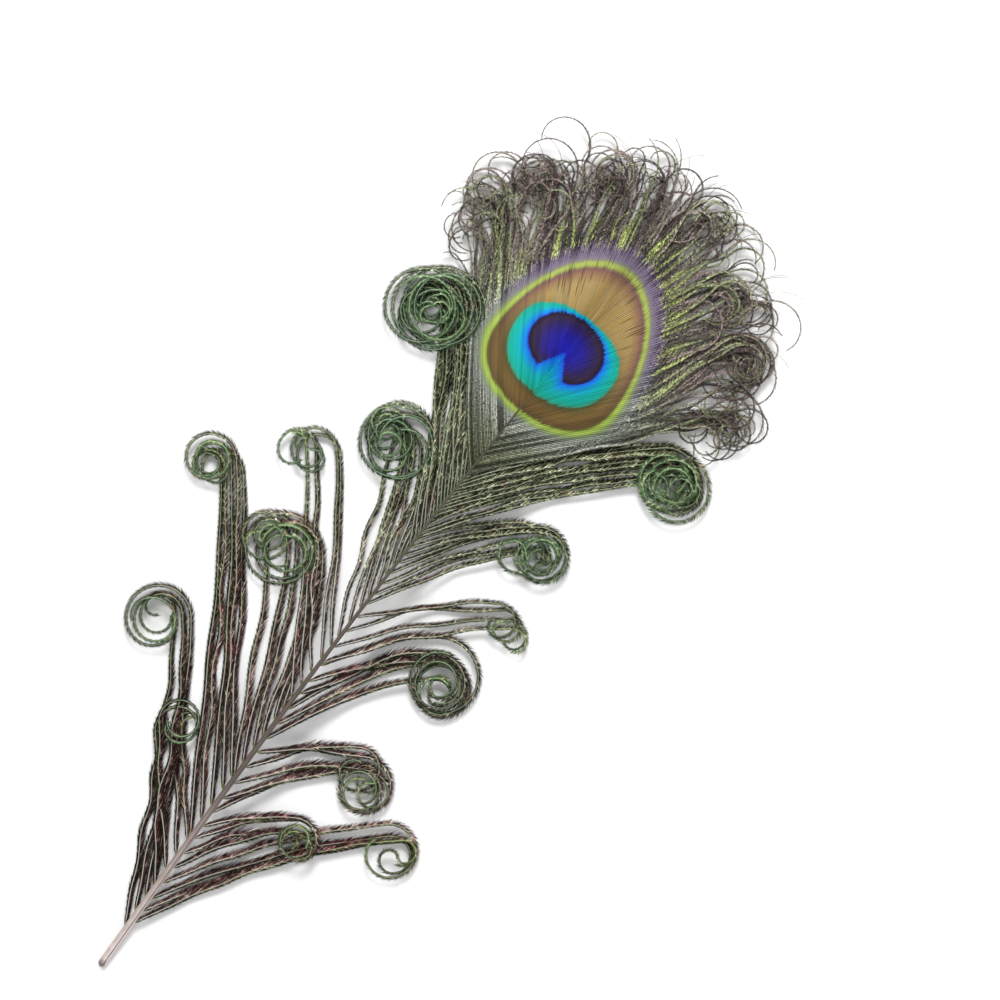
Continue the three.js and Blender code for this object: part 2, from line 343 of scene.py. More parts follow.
def barbTree():
    # a rib along each guide, and barbules on both sides of it
    tree = bpy.data.node_groups.new("barbWithBarbules", "GeometryNodeTree")
    kinds = {"Guides": "Geometry", "Rib sides": "Int", "Seed": "Int", "Finish": "Material"}
    sizes = ("Rib step", "Rib height", "Barbule spacing", "Barbule length", "Barbule width")
    sizes += ("Barbule thickness", "Tuft pitch")
    angles = ("Sweep from", "Sweep to", "Bend sweep", "Droop from", "Droop to")
    sockets = {}
    for name in (*kinds, *sizes, *angles):
        kind = "NodeSocket" + kinds.get(name, "Float")
        sockets[name] = tree.interface.new_socket(name, in_out="INPUT", socket_type=kind).identifier
    tree.interface.new_socket("Barbs", in_out="OUTPUT", socket_type="NodeSocketGeometry")
    given = addNode(tree, "NodeGroupInput").outputs
    curve = addNode(tree, "GeometryNodeMeshToCurve", {"Mesh": given["Guides"]})
    side = addNode(tree, "GeometryNodeInputNamedAttribute", {"Name": "side"}, data_type="FLOAT_VECTOR")
    ribRadius, reach, strand, turning = (
        addNode(tree, "GeometryNodeInputNamedAttribute", {"Name": label}, data_type="FLOAT")
        for label in ("ribRadius", "reach", "strandTint", "turning")
    )
    spreading = {0: turning, 1: given["Bend sweep"], 2: 1.0}
    spreading = addNode(tree, "ShaderNodeMath", spreading, operation="MULTIPLY_ADD")
    tangent = addNode(tree, "GeometryNodeInputTangent")
    onPoints = {"data_type": "FLOAT", "domain": "POINT"}

    # rib: a ring with few sides swept along the guide; ribEdge is 0 along its ridge and 1 down its flanks,
    # where the materials darken it as painted shade
    coarse = {"Curve": curve, "Length": given["Rib step"]}
    ribCurve = addNode(tree, "GeometryNodeResampleCurve", coarse, mode="LENGTH")
    ribCurve = addNode(tree, "GeometryNodeSetCurveNormal", {"Curve": ribCurve}, mode="Z_UP")
    ribCurve = addNode(tree, "GeometryNodeSetCurveRadius", {"Curve": ribCurve, "Radius": ribRadius})
    circle = {"Resolution": given["Rib sides"], "Radius": 1.0}
    ring = addNode(tree, "GeometryNodeCurvePrimitiveCircle", circle)
    ring = addNode(tree, "GeometryNodeTransform", {"Geometry": ring, "Rotation": (0, 0, math.pi / 2)})
    where = addNode(tree, "ShaderNodeSeparateXYZ", {0: addNode(tree, "GeometryNodeInputPosition")})
    flankShade = {"Value": where.outputs["Y"], "From Min": 1.0, "From Max": -0.5}
    edged = {"Geometry": ring, "Name": "ribEdge", "Value": addNode(tree, "ShaderNodeMapRange", flankShade)}
    ring = addNode(tree, "GeometryNodeStoreNamedAttribute", edged, **onPoints)
    flatten = addNode(tree, "ShaderNodeCombineXYZ", {"X": 1.0, "Y": given["Rib height"], "Z": 1.0})
    ring = addNode(tree, "GeometryNodeTransform", {"Geometry": ring, "Scale": flatten})
    swept = {"Curve": ribCurve, "Profile Curve": ring, "Scale": ribRadius, "Fill Caps": True}
    masked = {"Geometry": addNode(tree, "GeometryNodeCurveToMesh", swept), "Name": "ribMask", "Value": 1.0}
    rib = addNode(tree, "GeometryNodeStoreNamedAttribute", masked, **onPoints)

    # barbule: a three-sided sliver that tapers to a point along X; barbuleTip is 1 there
    sliver = {"Vertices": 3, "Side Segments": 1, "Radius Top": 0.0, "Radius Bottom": 0.5, "Depth": 1.0}
    sliver = addNode(tree, "GeometryNodeMeshCone", sliver, fill_type="NGON")
    sliver = addNode(tree, "GeometryNodeTransform", {"Geometry": sliver, "Rotation": (0, math.pi / 2, 0)})
    tipped = {"Geometry": sliver, "Name": "barbuleTip", "Value": where.outputs["X"]}
    sliver = addNode(tree, "GeometryNodeStoreNamedAttribute", tipped, **onPoints)
    fine = {"Curve": curve, "Length": given["Barbule spacing"]}
    fine = addNode(tree, "GeometryNodeResampleCurve", fine, mode="LENGTH")
    axes = {"Primary Axis": tangent, "Secondary Axis": side}
    ribFrame = addNode(tree, "FunctionNodeAxesToRotation", axes, primary_axis="X", secondary_axis="Y")
    length = addNode(tree, "ShaderNodeMath", {0: given["Barbule length"], 1: reach}, operation="MULTIPLY")
    feathered = {"A": reach, "B": barbuleTufts["bareBelow"]}
    feathered = addNode(tree, "FunctionNodeCompare", feathered, operation="GREATER_THAN")
    # barbules lie in tufts, and the tufts of the two hands alternate like the turns of a rope
    run = addNode(tree, "GeometryNodeSplineParameter").outputs["Length"]
    turn = addNode(tree, "ShaderNodeMath", {0: run, 1: given["Tuft pitch"]}, operation="DIVIDE")
    start = addNode(tree, "ShaderNodeMath", {0: strand, 1: barbuleTufts["start"]}, operation="MULTIPLY")
    turn = addNode(tree, "ShaderNodeMath", {0: turn, 1: tau, 2: start}, operation="MULTIPLY_ADD")
    # seed and limits of what is drawn for each barbule
    draws = (
        (0, given["Sweep from"], given["Sweep to"]),
        (7, given["Droop from"], given["Droop to"]),
        (31, *barbuleTufts["tints"]),
    )
    parts = [rib]
    for hand, handSeed, tuftStart, handLength in barbuleTufts["hands"]:
        drawn = []
        for drawSeed, least, most in draws:
            seed = {0: given["Seed"], 1: handSeed + drawSeed}
            seed = addNode(tree, "ShaderNodeMath", seed, operation="ADD")
            limits = {"Min": least, "Max": most, "Seed": seed}
            drawn.append(addNode(tree, "FunctionNodeRandomValue", limits, data_type="FLOAT"))
        sweep, droop, tint = drawn
        phase = addNode(tree, "ShaderNodeMath", {0: turn, 1: tuftStart}, operation="ADD")
        tuft = addNode(tree, "ShaderNodeMath", {0: phase}, operation="SINE")
        droop, swell, tint = (
            addNode(tree, "ShaderNodeMath", {0: tuft, 1: barbuleTufts[i], 2: base}, operation="MULTIPLY_ADD")
            for i, base in (("droop", droop), ("swell", handLength), ("tint", tint))
        )
        swollen = addNode(tree, "ShaderNodeMath", {0: length, 1: swell}, operation="MULTIPLY")
        size = {"X": swollen, "Y": given["Barbule width"], "Z": given["Barbule thickness"]}
        rooted = fine
        for label, value in (("barbuleTintAndSeamShade", tint), ("greenSide", 0.5 + 0.5 * hand)):
            stored = {"Geometry": rooted, "Name": label, "Value": value}
            rooted = addNode(tree, "GeometryNodeStoreNamedAttribute", stored, **onPoints)
        sweep = addNode(tree, "ShaderNodeMath", {0: sweep, 1: hand}, operation="MULTIPLY")
        sweep = addNode(tree, "ShaderNodeMath", {0: sweep, 1: spreading}, operation="MULTIPLY")
        droop = addNode(tree, "ShaderNodeMath", {0: droop, 1: -hand}, operation="MULTIPLY")
        turned = ribFrame
        for axis, angle in (("X", droop), ("Z", sweep)):
            euler = addNode(tree, "ShaderNodeCombineXYZ", {axis: angle})
            leaning = {0: turned, 1: addNode(tree, "FunctionNodeEulerToRotation", {0: euler})}
            turned = addNode(tree, "FunctionNodeRotateRotation", leaning, rotation_space="LOCAL")
        onRib = {
            "Points": rooted,
            "Selection": feathered,
            "Instance": sliver,
            "Rotation": turned,
            "Scale": addNode(tree, "ShaderNodeCombineXYZ", size),
        }
        parts.append(addNode(tree, "GeometryNodeInstanceOnPoints", onRib))
    joined = addNode(tree, "GeometryNodeJoinGeometry")
    for part in parts:
        tree.links.new(part.outputs[0], joined.inputs[0])
    real = addNode(tree, "GeometryNodeRealizeInstances", {"Geometry": joined})
    finished = addNode(tree, "GeometryNodeSetMaterial", {"Geometry": real, "Material": given["Finish"]})
    addNode(tree, "NodeGroupOutput", {0: finished})
    return tree, sockets


barbNodes, barbSockets = barbTree()
print("stage: node tree made")


def growBarbs(name, barbs, inputs, material):
    # runs the node tree on the guides and leaves a plain mesh
    source = bpy.data.objects.new(name + "Guides", guideMesh(name, barbs))
    bpy.context.scene.collection.objects.link(source)
    modifier = source.modifiers.new("barbs", "NODES")
    modifier.node_group = barbNodes
    for label, value in {**inputs, "Finish": material}.items():
        modifier[barbSockets[label]] = value
    depsgraph = bpy.context.evaluated_depsgraph_get()
    grown = source.evaluated_get(depsgraph)
    mesh = bpy.data.meshes.new_from_object(grown, preserve_all_data_layers=True, depsgraph=depsgraph)
    guides = source.data
    bpy.data.objects.remove(source)
    bpy.data.meshes.remove(guides)
    mesh.name = name
    piece = bpy.data.objects.new(name, mesh)
    triangles = sum(len(polygon.vertices) - 2 for polygon in mesh.polygons)
    print("stage:", name, len(barbs), "barbs,", triangles, "triangles")
    return piece


def addBakeMap(mesh, u, v):
    corners = np.zeros(len(mesh.loops), dtype=np.int32)
    mesh.loops.foreach_get("vertex_index", corners)
    layer = mesh.uv_layers.new(name="OFBake")
    layer.data.foreach_set("uv", np.stack((u[corners], v[corners]), axis=1).ravel())


def mapBarbs(mesh, barbCount):
    # each barb is a row of the map and its barbules lie where they grow
    count = len(mesh.vertices)
    along = np.zeros(count, dtype=np.float32)
    strand = np.zeros(count, dtype=np.float32)
    mesh.attributes["along"].data.foreach_get("value", along)
    mesh.attributes["strand"].data.foreach_get("value", strand)
    index = np.arange(count)
    across = (strand + 0.2 + 0.5 * (index % 2)) / barbCount
    addBakeMap(mesh, 0.005 + 0.98 * along + 0.003 * (index % 3), across)


def mapFlat(mesh):
    # a closed web is laid out flat; its edges lean a little so that no face has no width
    places = np.zeros(len(mesh.vertices) * 3, dtype=np.float32)
    mesh.vertices.foreach_get("co", places)
    places = places.reshape(-1, 3)
    low, high = places.min(0), places.max(0)
    u, v = ((places[:, i] - low[i] + 0.3 * places[:, 2]) / (high[i] - low[i] + 0.004) for i in (0, 1))
    addBakeMap(mesh, u, v)


def finishPiece(piece, nodes=()):
    bpy.context.scene.collection.objects.link(piece)
    for label in ("side", "ribRadius", "reach", "turning"):
        if label in piece.data.attributes:
            piece.data.attributes.remove(piece.data.attributes[label])
    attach(piece, "root")
    if nodes:
        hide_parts(*nodes)


rangeInputs = ("From Min", "From Max", "To Min", "To Max")

herlLook = {
    "greenSide": [(0, "#090c05"), (0.3, "#181f10"), (0.58, "#3d492c"), (0.82, "#838f64"), (1, "#dfe8b8")],
    "brownSide": [(0, "#0d0908"), (0.3, "#2a1d1a"), (0.58, "#5c473f"), (0.82, "#a08a7c"), (1, "#eadfd2")],
    "rib": [
        (0, "#a9b860"), (0.012, "#a5ab74"), (0.024, "#e6dbdb"),
        (0.35, "#d5cec2"), (0.7, "#a7b08f"), (1, "#a9c070"),
    ],
    "silverRib": "#98a586",
    # painted shade down the flanks of a rib
    "ribFlankShade": "#2a3322",
    "flankShadeShare": 0.35,
    # a curled rib's own pale green, lightened further as a painted highlight
    "curledRibWithHighlight": "#9dbfa4",
    "curledShare": 0.55,
    "nearShaftDark": "#1c2416",
    "lilac": "#f4adc4",
    "emerald": "#38603f",
    "greening": (0.15, 0.25),  # how emerald a curl is, and what its green side adds
    "ends": "#506e38",
    # scale and detail: tufts of 1.4 mm, patches of 5 mm and painted glints of 0.3 mm along a barbule
    "noises": {"tufts": (700.0, 1.0), "patches": (180.0, 2.0), "glintsAndGrain": (3000.0, 1.0)},
    # what each effect reads, where it starts and ends there, and from what strength to what
    "effects": {
        "low": ("height", 0.03, -0.07, 0.0, 0.3),  # darker and more lilac towards the quill
        "high": ("height", -0.03, 0.03, 0.0, 0.8),  # and greener on both sides towards the eye
        "tuftShade": ("tufts", 0.3, 0.7, -0.28, 0.12),
        # barbules darker towards the shaft
        "nearShaftDarkening": ("along", 0.2, 0.02, 0.0, 0.5),
        "flush": ("patches", 0.52, 0.7, 0.0, 0.7),
        "ending": ("along", 0.72, 0.95),
        "chosen": ("strandTint", 0.4, 0.6, 0.0, 0.5),
    },
    "shading": {"glintsAndGrain": 1.2, "strandTint": 0.2, "barbuleTip": -0.4, "low": -0.3},
    "darker": 0.52,
    "lighterHigh": 0.03,
    "surface": {"Metallic": 0.3, "Roughness": 0.36, "Specular IOR Level": 0.14},
}


def herlBarbules(tree):
    # melanin keratin barbules: dark, with a silky gleam that is green on one side of the rib and lilac brown
    # on the other, and changes from tuft to tuft; fine glints along each barbule are painted highlights
    labels = ("barbuleTintAndSeamShade", "greenSide", "along", "curled", "strandTint", "ribMask", "ribEdge", "barbuleTip")
    read = {i: addNode(tree, "ShaderNodeAttribute", attribute_name=i).outputs["Fac"] for i in labels}
    where = addNode(tree, "ShaderNodeTexCoord").outputs["Object"]
    read["height"] = addNode(tree, "ShaderNodeSeparateXYZ", {0: where}).outputs["Y"]
    for label, (scale, detail) in herlLook["noises"].items():
        noise = {"Vector": where, "Scale": scale, "Detail": detail}
        read[label] = addNode(tree, "ShaderNodeTexNoise", noise)
    for label, (reading, *limits) in herlLook["effects"].items():
        effect = {"Value": read[reading], **dict(zip(rangeInputs, limits))}
        read[label] = addNode(tree, "ShaderNodeMapRange", effect)
    high = read["high"]
    shade = addNode(tree, "ShaderNodeMath", {0: read["barbuleTintAndSeamShade"], 1: read["tuftShade"]}, operation="ADD")
    for label, weight in herlLook["shading"].items():
        term = {0: read[label], 1: weight, 2: shade}
        shade = addNode(tree, "ShaderNodeMath", term, operation="MULTIPLY_ADD")
    darker = {0: shade, 1: herlLook["darker"]}
    shade = addNode(tree, "ShaderNodeMath", darker, operation="SUBTRACT", use_clamp=True)
    lighter = {0: high, 1: herlLook["lighterHigh"], 2: shade}
    shade = addNode(tree, "ShaderNodeMath", lighter, operation="MULTIPLY_ADD")
    greenSide = addNode(tree, "ShaderNodeMath", {0: read["greenSide"], 1: high}, operation="MAXIMUM")
    green = addNode(tree, "ShaderNodeValToRGB", {0: shade}, herlLook["greenSide"])
    brown = addNode(tree, "ShaderNodeValToRGB", {0: shade}, herlLook["brownSide"])
    colour = addNode(tree, "ShaderNodeMix", {"Factor": greenSide, "A": brown, "B": green}, data_type="RGBA")
    flush = addNode(tree, "ShaderNodeMath", {0: read["flush"], 1: read["low"]}, operation="ADD")
    least, more = herlLook["greening"]
    greening = addNode(tree, "ShaderNodeMath", {0: greenSide, 1: more, 2: least}, operation="MULTIPLY_ADD")
    greening = addNode(tree, "ShaderNodeMath", {0: greening, 1: read["curled"]}, operation="MULTIPLY")
    washes = ((read["nearShaftDarkening"], "nearShaftDark", "MIX"), (flush, "lilac", "MULTIPLY"), (greening, "emerald", "MIX"))
    for share, over, blend in washes:
        wash = {"Factor": share, "A": colour, "B": hexColour(herlLook[over])}
        colour = addNode(tree, "ShaderNodeMix", wash, data_type="RGBA", blend_type=blend)
    curled, flankShade = (
        addNode(tree, "ShaderNodeMath", {0: read[label], 1: herlLook[share]}, operation="MULTIPLY")
        for label, share in (("curled", "curledShare"), ("ribEdge", "flankShadeShare"))
    )
    # the rib: its colour along the barb, silver towards the eye, a curl's pale green with a painted
    # highlight, and painted shade down its flanks
    rib = addNode(tree, "ShaderNodeValToRGB", {0: read["along"]}, herlLook["rib"])
    for share, over in ((high, "silverRib"), (curled, "curledRibWithHighlight"), (flankShade, "ribFlankShade")):
        wash = {"Factor": share, "A": rib, "B": hexColour(herlLook[over])}
        rib = addNode(tree, "ShaderNodeMix", wash, data_type="RGBA")
    ribbed = {"Factor": read["ribMask"], "A": colour, "B": rib}
    colour = addNode(tree, "ShaderNodeMix", ribbed, data_type="RGBA")
    # the ends of some barbs are bright yellow-green
    ending = addNode(tree, "ShaderNodeMath", {0: read["ending"], 1: read["chosen"]}, operation="MULTIPLY")
    ending = {"Factor": ending, "A": colour, "B": hexColour(herlLook["ends"])}
    colour = addNode(tree, "ShaderNodeMix", ending, data_type="RGBA", blend_type="ADD")
    return {"Base Color": colour, **herlLook["surface"]}


herlMaterial = newMaterial("iridescentBarbules", herlBarbules)

# The eyespot's zones are half-ellipses put together: out and along are the centre, wide, up and down the
# half sizes, all in mm in the feather's frame, and power how square the upper and lower half are. A zone's
# reach is 1 on its edge and less inside it.
eyespot = {
    "ring": {"out": 0.2, "along": 203.4, "wide": 20.6, "up": 32.0, "down": 16.2, "power": (1.92, 2.2)},
    "teal": {"out": -0.2, "along": 208.0, "wide": 15.8, "up": 10.8, "down": 14.2, "power": (2.25, 2.25)},
    "pupil": {"out": -0.5, "along": 208.5, "wide": 10.9, "up": 9.1, "down": 8.4, "power": (2.1, 2.1)},
    "notch": (0.0, 207.7, 0.6),  # its tip and how fast it opens
    "jitter": 0.42,  # barbs change colour this much before or after their neighbours, mm
    "pupilColours": [(0, "#2d2cd0"), (0.4, "#2f28b2"), (0.7, "#382a72"), (0.86, "#40304c"), (1, "#241632")],
    "tealColours": [
        (0, "#2350f5"), (0.12, "#2086ff"), (0.34, "#12aaf0"),
        (0.62, "#14c4c4"), (0.88, "#17c2ac"), (1, "#3fae8a"),
    ],
    # colour over the ring's reach: towards the tip, the same where a barb is streaked, and towards the quill
    "ringSpan": (0.5, 2.1),
    "tipward": [
        (0.5, "#c6a96c"), (0.8, "#c6ab74"), (0.88, "#b08b66"), (0.935, "#96686a"), (0.955, "#a0a060"),
        (0.97, "#bccc66"), (0.995, "#c0d06c"), (1.02, "#9f9f80"), (1.045, "#988aa2"), (1.15, "#86768f"),
        (1.22, "#6d6560"), (1.34, "#9d908a"), (1.6, "#9f8e89"), (2.1, "#94827c"),
    ],
    "streaked": [
        (0.5, "#bf9f5b"), (0.8, "#bf9f60"), (0.88, "#a9845f"), (0.935, "#8f6464"), (0.955, "#989a5a"),
        (0.97, "#b5c562"), (0.995, "#bccd68"), (1.02, "#97997a"), (1.045, "#8b7d95"), (1.12, "#7d6e86"),
        (1.17, "#8f975e"), (1.34, "#899258"), (1.5, "#7b8060"), (2.1, "#6f7158"),
    ],
    "quillward": [
        (0.5, "#7d6636"), (0.8, "#846a3c"), (0.91, "#735a3a"), (0.94, "#6e6838"), (0.96, "#a9c052"),
        (0.99, "#bcd662"), (1.025, "#a5bd68"), (1.06, "#9bab84"), (1.1, "#a3a99d"), (1.25, "#92968a"),
        (1.5, "#7a806b"), (2.1, "#63674c"),
    ],
    "tipwardFrom": (0.063, 0.089),  # scene metres, 197.5 to 223.5 mm along
    "tealShadow": "#4c5c3c",
    # painted shade of a gap between barbs
    "paintedSlitShade": "#2a2115",
    "back": "#57493a",
    "dulling": 0.8,
    # what each effect reads, where it starts and ends there, and from what strength to what
    "effects": {
        "streaky": ("strandTint", 0.6, 0.75),
        "nearTeal": ("teal", 1.12, 1.0, 0.0, 0.75),
        "inTeal": ("teal", 1.01, 0.985),
        "inPupil": ("outside", 0.025, -0.025),
        "outer": ("ring", 1.02, 1.22),
    },
    # a start value, and what is added to it with what weight
    "shading": {
        "tuft": (0.25, ("barbuleTintAndSeamShade", 1.3), ("barbuleTip", -0.65)),
        # the ridge is darkened down a rib's flanks as painted shade, and is lighter past the ring
        "ridge": (1.1, ("ribEdge", -0.35), ("outer", 0.25)),
        "contrast": (0.4, ("outer", 1.7)),
        "graininess": (0.0, ("outer", 3.2)),
    },
    "middleBarb": 0.55,
    "darkestBarb": 0.32,
    "grainScale": 2200.0,  # patches under half a millimetre across
    "surface": {"Metallic": 0.12, "Roughness": 0.4, "Specular IOR Level": 0.14},
}


def zoneReach(zone, out, along):
    rise = along - zone["along"]
    high = np.where(rise > 0, rise / zone["up"], -rise / zone["down"])
    wide = np.abs(out - zone["out"]) / zone["wide"]
    power = np.where(rise > 0, *zone["power"])
    return (wide**power + high**power) ** (1 / power)


def eyeZones(out, along):
    # where a point lies in the pattern, by the values that the material turns into colours
    ring, teal, pupil = (zoneReach(eyespot[name], out, along) for name in ("ring", "teal", "pupil"))
    tipOut, tipAlong, opening = eyespot["notch"]
    notch = (tipAlong - along) * opening - np.abs(out - tipOut)
    outside = np.maximum(pupil - 1, notch * 0.12)
    fromPupil = np.maximum(outside, 0)
    tealShare = fromPupil / (fromPupil + np.maximum(1 - teal, 0) + 0.001)
    return {"ring": ring, "teal": teal, "pupil": pupil, "outside": outside, "tealShare": tealShare}


def eyespotBarbules(tree):
    # barbules with thin-film keratin layers, hooked into a smooth web: each zone has its own film thickness,
    # and so its own colour
    labels = ("ring", "teal", "pupil", "outside", "tealShare", "strandTint", "barbuleTintAndSeamShade")
    labels += ("paintedSlitShade", "barbuleTip", "ribMask", "ribEdge", "under")
    read = {i: addNode(tree, "ShaderNodeAttribute", attribute_name=i).outputs["Fac"] for i in labels}
    for label, (reading, *limits) in eyespot["effects"].items():
        effect = {"Value": read[reading], **dict(zip(rangeInputs, limits))}
        read[label] = addNode(tree, "ShaderNodeMapRange", effect)
    where = addNode(tree, "ShaderNodeTexCoord").outputs["Object"]
    height = addNode(tree, "ShaderNodeSeparateXYZ", {0: where}).outputs["Y"]

    # the outer zones, by how far out from the ring a point lies
    first, last = eyespot["ringSpan"]
    across = {"Value": read["ring"], "From Min": first, "From Max": last}
    across = addNode(tree, "ShaderNodeMapRange", across)
    bands = []
    for label in ("quillward", "tipward", "streaked"):
        stops = [((reach - first) / (last - first), colour) for reach, colour in eyespot[label]]
        bands.append(addNode(tree, "ShaderNodeValToRGB", {0: across}, stops))
    colour, tipward, streaked = bands
    streaks = {"Factor": read["streaky"], "A": tipward, "B": streaked}
    tipward = addNode(tree, "ShaderNodeMix", streaks, data_type="RGBA")
    upper = {"Value": height, **dict(zip(rangeInputs, eyespot["tipwardFrom"]))}
    upper = addNode(tree, "ShaderNodeMapRange", upper, interpolation_type="SMOOTHSTEP")
    lower = addNode(tree, "ShaderNodeMath", {0: 1.0, 1: upper}, operation="SUBTRACT")
    shadow = addNode(tree, "ShaderNodeMath", {0: read["nearTeal"], 1: lower}, operation="MULTIPLY")

    # over them the shadow below the teal, the teal itself and the heart-shaped pupil
    teal = addNode(tree, "ShaderNodeValToRGB", {0: read["tealShare"]}, eyespot["tealColours"])
    pupil = addNode(tree, "ShaderNodeValToRGB", {0: read["pupil"]}, eyespot["pupilColours"])
    zones = [(upper, tipward), (shadow, hexColour(eyespot["tealShadow"]))]
    zones += [(read["inTeal"], teal), (read["inPupil"], pupil)]
    for share, over in zones:
        zone = {"Factor": share, "A": colour, "B": over}
        colour = addNode(tree, "ShaderNodeMix", zone, data_type="RGBA")

    # light and dark: by tuft, along each barb's ridge with painted shade down its flanks, and from barb to
    # barb; the slits are painted shade
    for label, (value, *terms) in eyespot["shading"].items():
        for reading, weight in terms:
            term = {0: read[reading], 1: weight, 2: value}
            value = addNode(tree, "ShaderNodeMath", term, operation="MULTIPLY_ADD")
        read[label] = value
    lightness = {"Factor": read["ribMask"], "A": read["tuft"], "B": read["ridge"]}
    lightness = addNode(tree, "ShaderNodeMix", lightness, data_type="FLOAT")
    glintsAndGrain = {"Vector": where, "Scale": eyespot["grainScale"], "Detail": 1.0}
    glintsAndGrain = addNode(tree, "ShaderNodeTexNoise", glintsAndGrain)
    patterns = ((glintsAndGrain, 0.5, "graininess"), (read["strandTint"], eyespot["middleBarb"], "contrast"))
    for pattern, middle, strength in patterns:
        swing = addNode(tree, "ShaderNodeMath", {0: pattern, 1: middle}, operation="SUBTRACT")
        swing = {0: swing, 1: read[strength], 2: 1.0}
        swing = addNode(tree, "ShaderNodeMath", swing, operation="MULTIPLY_ADD")
        if strength == "contrast":
            darkest = {0: swing, 1: eyespot["darkestBarb"]}
            swing = addNode(tree, "ShaderNodeMath", darkest, operation="MAXIMUM")
        lightness = addNode(tree, "ShaderNodeMath", {0: lightness, 1: swing}, operation="MULTIPLY")
    colour = addNode(tree, "ShaderNodeVectorMath", {0: colour, "Scale": lightness}, operation="SCALE")
    # the back shows the same zones, dulled to brown
    dulled = addNode(tree, "ShaderNodeMath", {0: read["under"], 1: eyespot["dulling"]}, operation="MULTIPLY")
    # then the painted shade of the slits
    for share, over in ((dulled, "back"), (read["paintedSlitShade"], "paintedSlitShade")):
        wash = {"Factor": share, "A": colour, "B": hexColour(eyespot[over])}
        colour = addNode(tree, "ShaderNodeMix", wash, data_type="RGBA")
    return {"Base Color": colour, **eyespot["surface"]}


webMaterial = newMaterial("eyespotBarbules", eyespotBarbules)
print("stage: materials made")

herlBarbuleSizes = {
    "Rib step": 0.0013,
    "Rib sides": 4,
    "Rib height": 0.9,
    "Barbule spacing": 0.0002,
    "Barbule length": 0.0026,
    "Barbule width": 0.00033,
    "Barbule thickness": 0.0001,
    "Sweep from": 0.32,
    "Sweep to": 0.44,
    "Bend sweep": 0.9,
    "Droop from": 0.0,
    "Droop to": 0.4,
    "Tuft pitch": 0.0016,
}
sleekBarbules = {"Barbule length": 0.0046, "Sweep from": 0.27, "Sweep to": 0.34, "Droop to": 0.25}


def herlRoots(first, last, rng):
    closingFrom, closedAt = herls["closing"]
    roots = []
    y = first + rng.uniform(*herls["firstRoot"])
    while y < last:
        roots.append(y)
        closing = smooth((y - closingFrom) / (closedAt - closingFrom))
        y += lerp(*herls["spacing"], closing) * rng.uniform(*herls["unevenSpacing"])
    return roots


def growLock(side, number, lock):
    rng = random.Random(herls["seed"] + number + (20 if side == "right" else 0))
    roots = herlRoots(*lock["roots"], rng)
    thick, thin = herls["ribRadius"]
    sleek = number <= herls["sleekLocks"]
    tuck = herls["tuck"][sleek]
    barbs = []
    for lane, root in enumerate(roots):
        # the lowest herl has the largest curl, or the smallest where the lock curls inward
        outer = lane if lock.get("hand", 1) < 0 else len(roots) - 1 - lane
        barb = barbGuide(herlRows(side, lock, root, outer, len(roots), rng), side)
        widening = np.clip(barb["run"] / herls["widening"], 0, 1)
        barb["ribRadius"] = lerp(thick, thin, barb["along"]) * mm
        # barbules are shorter where the barb bends
        tucked = tuck * barb["turning"] + herls["curlTuck"] * barb["curled"]
        tapered = 1 - herls["endTaper"] * barb["along"] ** 3
        barb["reach"] = lerp(herls["rootReach"], 1, widening) * tapered * (1 - tucked)
        barb["strandTint"] = rng.random()
        barb["strand"] = float(lane)
        barbs.append(barb)
    sizes = {**herlBarbuleSizes, "Seed": number}
    if sleek:
        sizes.update(sleekBarbules)
    piece = growBarbs(f"lock_{side}_{number}", barbs, sizes, herlMaterial)
    mapBarbs(piece.data, len(barbs))
    below = sum(frameHerls[side][: number - 1])
    replaced = range(below + 1, below + frameHerls[side][number - 1] + 1)
    finishPiece(piece, [f"herl_{side}_{i:02d}" for i in replaced])


for side in locks:
    for number, lock in enumerate(locks[side], 1):
        growLock(side, number, lock)

web = {
    "roots": (166.5, 221.5),
    "barbs": 88,
    "fanCentre": 195,
    # angle of the lowest barb, and how far it and the topmost reach
    "fan": {"left": (57, 54, 73), "right": (65, 58, 74)},
    "leaving": 42,
    "closesOver": (186, 8),  # past here the barbs close over the shaft, within this length
    "rows": 76,
    "hookedTo": 1.2,  # barbs are hooked together this far out from the ring's edge
    "hookedShare": 0.14,  # and over at least this share of their length
    "sheetRows": 44,
    "sheetThickness": 0.16,
    "seamDepth": 0.1,
    "paintedSlitShare": 0.3,  # share of the seams that get the painted shade of a gap somewhere towards the tip
    "slitMiddle": (0.55, 0.85),  # share of the way out where it gapes, and over what share
    "slitHalf": (0.05, 0.12),
    "slitsFrom": (214, 6),  # the painted slit shade darkens past here, within this length
    "slitShadeStrength": 0.85,
    "ridgeTint": 0.7,
    "paintedSeamShade": (0.5, 0.8),  # how much painted shade darkens a seam between barbs, inside the ring and past it
    "ribRadius": (0.11, 0.07),
    "seed": 71,
}

# the loose ends past the ring
fringe = {
    "ends": (0.72, 0.97),  # share of the way to the fan's edge where a barb starts to curl
    "radius": (2.8, 7.5),
    "turns": (0.1, 0.75),
    "pitch": (1.6, 4.2),
    "wobble": 0.25,
    "sway": (0.3, 1.3),
    "swayLength": (10, 24),
    "stray": 2.2,
    "loft": 3.4,
    "edge": 0.6,
    "lying": 0.85,
    "backward": 0.14,  # share that curls the other way
    "fillers": 62,  # loose barbs on each side that grow between the hooked ones
    "hairs": 26,  # fine bare barb ends on each side
    "furthest": (57, 275),  # out and along
    "curlStep": 0.8,
    "hairEnds": (0.85, 1),
    "hairRadius": 1.8,  # a hair's curl against a barb's
    "hairTurns": 0.35,
    "hairThickness": 0.08,
    "smallestRadius": 1.1,
    "shortest": 0.16,  # of its path a barb is loose over at least this share
    "gatheredRadius": (0.45, 1.1),
    "gatheredTurns": (0.6, 1.1),
    "clusterTurns": 0.9,
    "furthestPull": 0.7,
    "endTaper": 0.7,
    "firstRows": 4,  # barbules grow to their length over these rows
}

